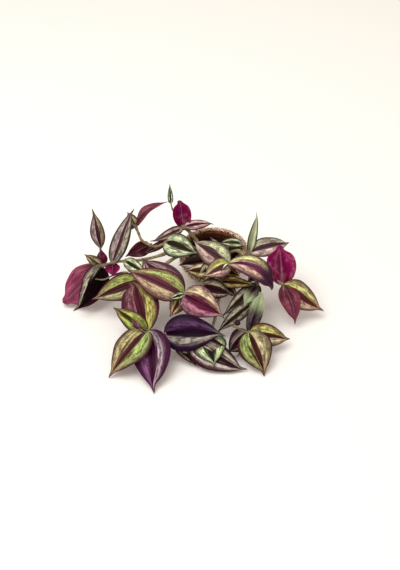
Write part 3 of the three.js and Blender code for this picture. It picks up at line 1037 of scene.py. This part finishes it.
class Blade:
    """One leaf's blade, as rows of points from its root to its tip."""

    def __init__(self, leaf: Leaf, root: Vector, seed: int) -> None:
        """Works out the blade's rows and how wide they are.

        Args:
            leaf: The leaf's layout.
            root: Where it leaves the stem.
            seed: What its small differences from other leaves come from.
        """
        self.leaf, self.root, self.seed = leaf, root, seed
        self.random = random.Random(seed)
        self.along = (1 - np.cos(np.pi * np.arange(BLADE_ROWS + 1) / BLADE_ROWS)) / 2
        self.across = np.linspace(-1, 1, BLADE_COLUMNS + 1)
        rise, fall = leaf.outline.value
        peak = rise / (rise + fall)
        share = self.along**rise * (1 - self.along) ** fall / (peak**rise * (1 - peak) ** fall)
        # It is drawn in a little before its tip.
        share *= 1 - TIP_PINCH * np.exp(-(((self.along - PINCH_PLACE) / PINCH_REACH) ** 2))
        self.half = leaf.width / 2 * share + NECK_HALF_WIDTH * (1 - self.along) ** 4 + TIP_HALF_WIDTH

    def surface(self) -> tuple[np.ndarray, np.ndarray, np.ndarray]:
        """Works out the blade's middle surface: folded along its midrib, waved, and ribbed along its veins.

        Returns:
            Its points, the directions of its upper face, and its grain: each point's place across and along the
            blade in millimetres, and a number of the blade's own. All are rows by columns by values.
        """
        leaf, across = self.leaf, self.across
        span = Vector(leaf.tip) - self.root
        length = span.length
        axis = span.normalized()
        face = turned((LIGHT - axis * LIGHT.dot(axis)).normalized(), axis, leaf.roll)
        lean = axis.cross(face)
        phase = self.random.uniform(0, 2 * math.pi)
        waves = self.random.uniform(*WAVES)
        hook = self.random.uniform(-TIP_HOOK, TIP_HOOK) * length
        bent = face * (leaf.bow * length) + lean * (leaf.sway * length)
        points, ups, grain = [], [], []
        for along, half in zip(self.along, self.half):
            arch = 4 * along * (1 - along)
            centre = self.root + span * along + bent * arch + lean * (hook * smooth_step(0.8, 1.0, along) ** 2)
            tangent = (span + bent * 4 * (1 - 2 * along)).normalized()
            up = turned((face - tangent * face.dot(tangent)).normalized(), tangent, leaf.twist * (1 - along) ** 2)
            side = tangent.cross(up)
            fold = math.radians(FOLD * (1 + (2 * along - 1) ** 2))
            wave = np.sin(2 * math.pi * waves * along + phase + np.sign(across))
            rise = half * (np.abs(across) * math.sin(fold) - EDGE_DROOP * across**2)
            rise += EDGE_WAVE * half * wave * across**2 * arch
            rise -= RIB_DEPTH * np.exp(-((across * half / RIB_HALF_WIDTH) ** 2)) * arch
            rise += VEIN_HEIGHT * np.cos(2 * math.pi * VEINS * np.abs(across)) * arch
            points.append(np.array(centre) + np.outer(half * across * math.cos(fold), side) + np.outer(rise, up))
            ups.append(np.tile(np.array(up), (len(across), 1)))
            shift = np.full_like(across, PATTERN_SHIFT * self.seed)
            grain.append(np.stack((leaf.width / 2 * across, np.full_like(across, along * length), shift), axis=1))
        return np.array(points), np.array(ups), np.array(grain)

    def colours(self) -> dict[str, np.ndarray]:
        """Works out the blade's colours at its points.

        Returns:
            The attributes zone, ground, band and under, each as rows by columns by values.
        """
        look = self.leaf.look.value
        along, across = np.meshgrid(self.along, self.across, indexing="ij")
        out = np.abs(across)
        named = ("left", "right", "flush", "middle", "edge", "under")
        left, right, flush, middle, edge, under = (np.array(linear(getattr(look, name))) for name in named)
        tone = BAND_TONE + self.random.uniform(-TONE_SPREAD, TONE_SPREAD)
        turning = smooth_step(look.turn, look.turned, along)
        band = np.where((across > 0)[..., None], right, left) * tone
        band = band + (flush - band) * np.clip(0.35 * smooth_step(0.5, 1.0, out) + turning, 0, 1)[..., None]
        ground = middle + (edge - middle) * smooth_step(0.4, 0.8, out)[..., None]
        if look.turned < 1:
            ground = ground + (flush - ground) * turning[..., None]
        # A leaf is darker at its foot: partly its own colour, partly painted shade near the stem.
        foot = (0.7 + 0.3 * smooth_step(0.0, 0.3, along))[..., None]
        # The dark middle is widest over the leaf's middle, and a dark line goes all round the margin.
        inner = look.inner * (0.3 + 0.9 * np.sin(np.pi * np.clip(along, 0.0, 1.0)) ** 0.7)
        outer = np.maximum(np.minimum(look.outer, 1 - 0.8 / self.half)[:, None] + 0 * along, inner + 0.1)
        zone = np.where(
            out < outer,
            BAND_START + (BAND_END - BAND_START) * (out - inner) / (outer - inner),
            BAND_END + (1 - BAND_END) * (out - outer) / (1 - outer),
        )
        zone = np.where(out < inner, BAND_START * out / inner, zone)
        # Painted shade: the lower face is darker towards its foot and brighter towards the tip, and it also turns
        # bluer towards the tip.
        tipward = smooth_step(0.0, 0.7, along)[..., None] * np.array((0.4, 0.4, 0.65, 0.0))
        return {"zone": zone, "ground": ground * foot, "band": band * foot, "under": under * (0.75 + tipward)}


@dataclass
class LeafyShoot:
    """One leafy shoot: its stems, the sleeves round them and its leaves.

    Attributes:
        shoot: Its layout.
        seed: What its leaves' small differences come from.
        skins: The plant's materials by name.
        tube: The geometry tree that makes tubes.
        scatter: The geometry tree that scatters hairs.
    """

    shoot: Shoot
    seed: int
    skins: dict[str, Material]
    tube: Tree
    scatter: Tree

    def build(self) -> None:
        """Makes and settles the shoot's pieces."""
        name, slot, node = self.shoot.node.removesuffix("_shoot"), self.shoot.slot, self.shoot.node
        paths = [(stem, StemPath(stem)) for stem in self.shoot.stems]
        leaves = [(path, leaf) for stem, path in paths for leaf in stem.leaves]
        # A leaf grows at its point of the stem, which the path counts from the stem's start.
        blades = [
            Blade(leaf, path.place(leaf.at + 1), self.seed * 100 + number)
            for number, (path, leaf) in enumerate(leaves)
        ]
        sleeves = [
            path.sleeve(at)
            for stem, path in paths
            for at in sorted({leaf.at for leaf in stem.leaves if leaf.width >= SMALLEST_SLEEVED and leaf.at >= 0})
        ]
        buds = [path.bud(stem.bud) for stem, path in paths if stem.bud]
        runs = [path.rings() for _, path in paths]
        settle(self._tubes(f"{name}_stems", runs, "tradescantia_stem"), slot, node)
        settle(self._leaves(f"{name}_leaves", blades), slot, node)
        if buds:
            settle(self._tubes(f"{name}_buds", buds, "flower_bud"), slot, node)
        wraps = self._tubes(f"{name}_sleeves", sleeves, "leaf_sleeve")
        # Fine pale hairs stand all over the sleeves.
        hair = bristle(length=1.3, radius=0.05, bend=0.5, rings=3)
        hairs = scattered(
            f"{name}_hairs", self.scatter, hair, wraps.data, slice(None), Density=HAIR_DENSITY, Lean=0.9,
            Smallest=0.4, Largest=1.0, Seed=self.seed, Finish=self.skins["plant_hair"],
        )
        settle(hairs, slot)
        settle(wraps, slot)

    def _tubes(self, name: str, runs: list[list[Ring]], skin: str) -> Piece:
        """Makes round tubes along runs of centres and radii.

        Args:
            name: The piece's name.
            runs: For each tube, its rings' centres and radii in millimetres.
            skin: The name of the tubes' material.

        Returns:
            The piece.
        """
        curve = bpy.data.curves.new(name, "CURVE")
        curve.dimensions = "3D"
        for run in runs:
            spline = curve.splines.new("POLY")
            spline.points.add(len(run) - 1)
            for point, (centre, radius) in zip(spline.points, run):
                point.co = (*(centre * MM), 1.0)
                point.radius = radius * MM
        return grown(new_piece(name, curve), self.tube, Sides=STEM_SIDES, Finish=self.skins[skin])

    def _leaves(self, name: str, blades: list[Blade]) -> Piece:
        """Makes all of a shoot's leaves as one mesh of closed blades.

        Args:
            name: The piece's name.
            blades: The blades.

        Returns:
            The piece, with its upper faces in the first material and its lower faces in the second.
        """
        members = {
            "grain": ("FLOAT_VECTOR", "vector"), "zone": ("FLOAT", "value"), "ground": ("FLOAT_COLOR", "color"),
            "band": ("FLOAT_COLOR", "color"), "under": ("FLOAT_COLOR", "color"),
        }
        columns = BLADE_COLUMNS + 1
        each = (BLADE_ROWS + 1) * columns
        vertices, faces, lower = [], [], []
        values: dict[str, list[np.ndarray]] = {key: [] for key in members}
        taper = (1 - 0.75 * np.linspace(-1, 1, columns) ** 4)[None, :, None]
        margin = [(0, j) for j in range(columns)] + [(i, BLADE_COLUMNS) for i in range(1, BLADE_ROWS + 1)]
        margin += [(BLADE_ROWS, j) for j in range(BLADE_COLUMNS - 1, -1, -1)]
        margin += [(i, 0) for i in range(BLADE_ROWS - 1, 0, -1)]
        for number, blade in enumerate(blades):
            points, ups, grain = blade.surface()
            given = {"grain": grain, **blade.colours()}
            for sign in (1, -1):
                vertices.append((points + sign * ups * taper * BLADE_THICKNESS / 2).reshape(-1, 3))
                for key, value in given.items():
                    values[key].append(value.ravel())
            base = number * 2 * each
            for i in range(BLADE_ROWS):
                for j in range(BLADE_COLUMNS):
                    a = base + i * columns + j
                    faces.append((a, a + 1, a + columns + 1, a + columns))
                    faces.append((a + each, a + each + columns, a + each + columns + 1, a + each + 1))
                    lower += [False, True]
            ring = [base + i * columns + j for i, j in margin]
            faces += [(b, a, a + each, b + each) for a, b in zip(ring, ring[1:] + ring[:1])]
            lower += [False] * len(ring)
        mesh = new_mesh(name, np.concatenate(vertices) * MM, faces, smooth=True)
        for side in ("upper", "lower"):
            mesh.materials.append(self.skins[f"tradescantia_leaf_{side}"])
        mesh.polygons.foreach_set("material_index", np.array(lower, dtype=np.int32))
        for key, (kind, member) in members.items():
            data = mesh.attributes.new(key, kind, "POINT").data
            data.foreach_set(member, np.concatenate(values[key]).astype(np.float32))
        mesh.set_sharp_from_angle(angle=math.radians(SHARP_ANGLE))
        mesh.update()
        return new_piece(name, mesh)


# ---- pot and compost


def pot_radius(height: float) -> float:
    """Gives the pot's outer radius at a height.

    Args:
        height: The height over the foot.

    Returns:
        The radius in millimetres.
    """
    if height < POT_WIDEST_HEIGHT:
        below = (1 - height / POT_WIDEST_HEIGHT) ** POT_BELLY
        return POT_FOOT_RADIUS + (POT_WIDEST_RADIUS - POT_FOOT_RADIUS) * (1 - below)
    above = (height - POT_WIDEST_HEIGHT) / (POT_HEIGHT - POT_WIDEST_HEIGHT)
    return POT_WIDEST_RADIUS - (POT_WIDEST_RADIUS - POT_RIM_RADIUS) * above**2


def revolved(name: str, profile: list[tuple[float, float]], steps: int, rough: float, patch: float) -> Mesh:
    """Turns a closed profile about the Z axis and roughens it.

    Args:
        name: The mesh's name.
        profile: Radii and heights in millimetres, anticlockwise, from the axis to the axis.
        steps: How many steps round.
        rough: How far the surface wanders.
        patch: How wide its bumps are.

    Returns:
        The closed mesh.
    """
    vertices = []
    for radius, height in profile[1:-1]:
        for k in range(steps):
            angle = 2 * math.pi * k / steps
            point = Vector((radius * math.cos(angle), radius * math.sin(angle), height))
            # The bumps are drawn out along Z, and the foot stays flat.
            push = rough * noise.fractal(Vector((point.x, point.y, point.z * 0.35)) / patch, 0.6, 2.2, 4)
            outward = Vector((math.cos(angle), math.sin(angle), 0.5 if height > 2 else 0.0))
            vertices.append((point + outward * push) * MM)
    foot, rings = len(vertices), len(profile) - 2
    vertices += [Vector((0, 0, profile[0][1])) * MM, Vector((0, 0, profile[-1][1])) * MM]
    faces = walls(steps, rings)
    for k in range(steps):
        following = (k + 1) % steps
        faces += [(foot, following, k), (foot + 1, foot - steps + k, foot - steps + following)]
    return new_mesh(name, vertices, faces, smooth=True)


@dataclass
class CoconutPot:
    """The pot: the lower part of a coconut, its hard shell inside a layer of fibrous husk.

    Attributes:
        scatter: The geometry tree that scatters fibres.
        steps: How many steps its rings have.
        side_rings: How many rings the husk's outside has.
        rim_rings: How many its rim has.
        bald_rings: How many at the foot bear no fibres.
        husk_inset: How far the husk's skin lies inside the pot's outline, for its roughness to reach it.
        husk_floor: How far the husk's floor lies below the shell's.
        rim_drop: How far the husk's rim lies below the pot's height.
        rim_crown: How much higher the rim is in its middle than at its edges.
        shell_drop: How far the shell's rim lies below the pot's height.
        seam: The gap between the husk and the shell.
        fuzz_length: How long the fibres are that stand out of the husk.
        fuzz_radius: How thick they are at their foot.
        fuzz_density: How many there are on a square metre.
        husk_finish: The husk's finish.
        shell_finish: The hard shell's finish.
        fibre_finish: The loose fibres' finish.
    """

    scatter: Tree
    steps: int = 180
    side_rings: int = 40
    rim_rings: int = 7
    bald_rings: int = 8
    husk_inset: float = 0.3
    husk_floor: float = 2.0
    rim_drop: float = 0.8
    rim_crown: float = 1.2
    shell_drop: float = 3.0
    seam: float = 0.1
    fuzz_length: float = 4.2
    fuzz_radius: float = 0.14
    fuzz_density: float = 520000.0
    # Dry coir: matted fibres, dark brown and pinkish tan. The pale tone also follows the raised grain and the dark
    # tone its hollows: painted highlight and shade.
    husk_finish: SpeckledSkin = SpeckledSkin(
        "coconut_husk", "#30140c", "#ffdcbc", 2.2, 1.2, 0.6, 0.95, stretch=(1.0, 1.0, 0.6), contrast=0.85,
    )
    # The nut's hard shell, scraped clean inside: dark red-brown with a dull shine.
    shell_finish: SpeckledSkin = SpeckledSkin(
        "coconut_shell", "#38160e", "#7c4430", 4.0, 0.7, 0.15, 0.5, stretch=(1.0, 1.0, 0.3),
    )
    # Single coir fibres: dry and straw-coloured to brown.
    fibre_finish: SpeckledSkin = SpeckledSkin("coir_fibre", "#3e1c10", "#f6d4b0", 2.4, 1.4, 0.05, 0.9, contrast=0.9)

    def build(self) -> None:
        """Makes and settles the husk, the shell and the fuzz."""
        bowls = []
        for mesh, finish in ((self._husk(), self.husk_finish), (self._shell(), self.shell_finish)):
            bowl = self._pierced(new_piece(mesh.name, mesh))
            bowl.data.materials.append(finish.material())
            bowls.append(bowl)
        # The fibres stand on the husk's outside and rim, above the foot.
        fibre = bristle(self.fuzz_length, self.fuzz_radius, bend=0.3 * self.fuzz_length)
        hairy = slice(self.steps * self.bald_rings, self.steps * (self.side_rings + self.rim_rings - 1))
        fuzz = scattered(
            "husk_fuzz", self.scatter, fibre, self._husk(), hairy, Density=self.fuzz_density, Lean=1.15,
            Smallest=0.25, Largest=1.0, Seed=4, Finish=self.fibre_finish.material(),
        )
        settle(fuzz, "shell")
        for bowl in bowls:
            settle(bowl, "shell", "shell_pot")

    def _husk(self) -> Mesh:
        """Builds the husk: a thick bowl with a frayed rim.

        Returns:
            The closed mesh.
        """
        floor, edge = POT_FLOOR - self.husk_floor, POT_HEIGHT - self.rim_drop - self.rim_crown
        outside = [(pot_radius(h) - self.husk_inset, h) for h in np.linspace(0.0, edge, self.side_rings)]
        rim = [
            (
                POT_RIM_RADIUS - self.husk_inset - HUSK_THICKNESS * share,
                POT_HEIGHT - self.rim_drop - self.rim_crown * (2 * share - 1) ** 2,
            )
            for share in np.linspace(0.1, 0.9, self.rim_rings)
        ]
        inside = [(pot_radius(h) - HUSK_THICKNESS, h) for h in np.linspace(edge - 0.4, floor, 20)]
        profile = [(0, 0), *outside, *rim, *inside, (0, floor)]
        return revolved("coconut_husk", profile, self.steps, rough=0.8, patch=2.4)

    def _shell(self) -> Mesh:
        """Builds the hard shell inside the husk.

        Returns:
            The closed mesh.
        """
        top, foot = POT_HEIGHT - self.shell_drop, POT_FLOOR - self.husk_floor + self.seam
        outside = [(pot_radius(h) - HUSK_THICKNESS - self.seam, h) for h in np.linspace(foot, top, 16)]
        inside = [(pot_radius(h) - POT_WALL, h) for h in np.linspace(top, POT_FLOOR, 16)]
        profile = [(0, foot), *outside, *inside, (0, POT_FLOOR)]
        return revolved("coconut_shell", profile, self.steps, rough=0.18, patch=6.0)

    def _pierced(self, bowl: Piece) -> Piece:
        """Opens the nut's three eyes through the bottom of a bowl.

        Args:
            bowl: The bowl.

        Returns:
            The bowl with its three holes.
        """
        vertices, faces = [], []
        for i in range(EYES):
            turn = 2 * math.pi * i / EYES
            middle = Vector((math.sin(turn), math.cos(turn), 0)) * EYE_CIRCLE_RADIUS
            base = len(vertices)
            for height in (-1.0, 2 * POT_FLOOR):
                for k in range(EYE_SIDES):
                    angle = 2 * math.pi * k / EYE_SIDES
                    rim = Vector((math.cos(angle), math.sin(angle), 0)) * EYE_RADIUS
                    vertices.append((middle + rim + Vector((0, 0, height))) * MM)
            ring = range(base, base + EYE_SIDES)
            faces += [*walls(EYE_SIDES, 2, base), tuple(reversed(ring)), tuple(k + EYE_SIDES for k in ring)]
        cutter = new_piece("drills", new_mesh("drills", vertices, faces))
        cut = bowl.modifiers.new("eyes", "BOOLEAN")
        cut.object = cutter
        cut.operation = "DIFFERENCE"
        pierced = baked(bowl)
        bpy.data.objects.remove(cutter)
        return pierced


@dataclass
class Compost:
    """The dark compost that fills the pot, with loose crumbs on top.

    Attributes:
        scatter: The geometry tree that scatters crumbs.
        steps: How many steps its rings have.
        side_rings: How many rings its side has.
        dome_rings: How many its top has.
        crumb_density: How many crumbs lie on a square metre.
        finish: The compost's finish.
    """

    scatter: Tree
    steps: int = 96
    side_rings: int = 14
    dome_rings: int = 24
    crumb_density: float = 260000.0
    # Moist peaty compost: nearly black, dull, with brown specks of bark.
    finish: SpeckledSkin = SpeckledSkin("moist_compost", "#0a0504", "#25170f", 1.4, 0.5, 0.6, 0.95)

    def build(self) -> None:
        """Makes and settles the soil and its crumbs."""
        finish = self.finish.material()
        foot, crown = POT_FLOOR + CLEARANCE, SOIL_HEIGHT + SOIL_CROWN
        side = [(pot_radius(h) - POT_WALL - CLEARANCE, h) for h in np.linspace(foot, SOIL_HEIGHT, self.side_rings)]
        shares = np.linspace(0.96, 0.04, self.dome_rings)
        dome = [(side[-1][0] * share, SOIL_HEIGHT + SOIL_CROWN * (1 - share * share)) for share in shares]
        profile = [(0, foot), *side, *dome, (0, crown)]
        soil = new_piece("compost", revolved("compost", profile, self.steps, rough=0.7, patch=3.0))
        soil.data.materials.append(finish)
        # A crumb is an uneven lump of eight faces, and the crumbs lie on the dome.
        corners = ((1, 0, 0), (-1, 0.2, 0), (0, 1.1, 0.1), (0.2, -0.9, 0), (0, 0.1, 0.8), (0, 0, -0.8))
        sides = [(0, 2, 4), (2, 1, 4), (1, 3, 4), (3, 0, 4), (2, 0, 5), (1, 2, 5), (3, 1, 5), (0, 3, 5)]
        crumb = new_mesh("crumb", [Vector(corner) * MM for corner in corners], sides)
        top = slice(self.steps * (self.side_rings - 1), self.steps * (self.side_rings + self.dome_rings - 2))
        crumbs = scattered(
            "compost_crumbs", self.scatter, crumb, soil.data, top, Density=self.crumb_density, Lean=3.0,
            Smallest=0.4, Largest=1.5, Seed=9, Finish=finish,
        )
        settle(soil, "soil", "soil")
        settle(crumbs, "soil")


# ---- studio


@dataclass
class Studio:
    """The pale floor, the soft light and the camera at the photograph's angle.

    Attributes:
        camera_place: Where the camera stands.
        camera_pitch: Degrees by which it looks up from straight down.
        focal_length: For a sensor as wide as the picture's long side.
        sensor: How wide that is.
        floor_size: How wide the floor is.
        key_place: Where the softbox hangs.
        key_aim: What it faces.
        key_size: How wide it is.
        key_power: Its power in watts.
        sky: The strength of the even light from all round.
    """

    camera_place: Point = (-15.5, -786.4, 647.8)
    camera_pitch: float = 50.0
    focal_length: float = 54.92
    sensor: float = 36.0
    floor_size: float = 9000.0
    key_place: Point = (-600.0, -300.0, 1700.0)
    key_aim: Point = (-15.0, -60.0, 20.0)
    key_size: float = 1300.0
    key_power: float = 20.0
    sky: float = 0.74

    def build(self) -> None:
        """Makes the camera, the floor and the lights."""
        scene = bpy.context.scene
        camera = new_piece("camera", bpy.data.cameras.new("camera"))
        camera.data.lens = self.focal_length
        camera.data.sensor_width = self.sensor
        camera.location = Vector(self.camera_place) * MM
        camera.rotation_euler = (math.radians(self.camera_pitch), 0.0, 0.0)
        scene.camera = camera
        self._floor()
        self._softbox()
        world = bpy.data.worlds.new("studio")
        world.use_nodes = True
        background = world.node_tree.nodes["Background"]
        connect(world.node_tree, background, {"Color": linear("#fff7ec"), "Strength": self.sky})
        scene.world = world
        scene.view_settings.view_transform = "Standard"

    def _floor(self) -> None:
        """Lays the sheet of pale paper that the plant stands on."""
        half = self.floor_size * MM / 2
        corners = [(-half, -half, 0), (half, -half, 0), (half, half, 0), (-half, half, 0)]
        mesh = new_mesh("floor", corners, [(0, 1, 2, 3)])
        # Matt white paper with a faint warm tone and no shine.
        paper, tree, shader = new_material("matt_paper", roughness=0.9, specular=0.1)
        connect(tree, shader, {"Base Color": linear("#fcfaf6")})
        mesh.materials.append(paper)
        new_piece("floor", mesh)

    def _softbox(self) -> None:
        """Hangs the large soft light that faces the plant from the upper left."""
        data = bpy.data.lights.new("softbox", "AREA")
        data.size = self.key_size * MM
        data.energy = self.key_power
        data.color = linear("#fbfcff")[:3]
        light = new_piece("softbox", data)
        light.location = Vector(self.key_place) * MM
        light.rotation_euler = (Vector(self.key_aim) * MM - light.location).to_track_quat("-Z", "Y").to_euler()


def main() -> None:
    """Builds the studio, the pot, the compost and every shoot."""
    logging.basicConfig(level=logging.INFO, format="%(name)s: %(message)s")
    Studio().build()
    scatter, tube = scatter_tree(), tube_tree()
    CoconutPot(scatter).build()
    Compost(scatter).build()
    skins = {skin.name: skin.material() for skin in PLANT_SKINS}
    for seed, shoot in enumerate(SHOOTS):
        LeafyShoot(shoot, seed, skins, tube, scatter).build()


if __name__ == "__main__":
    main()
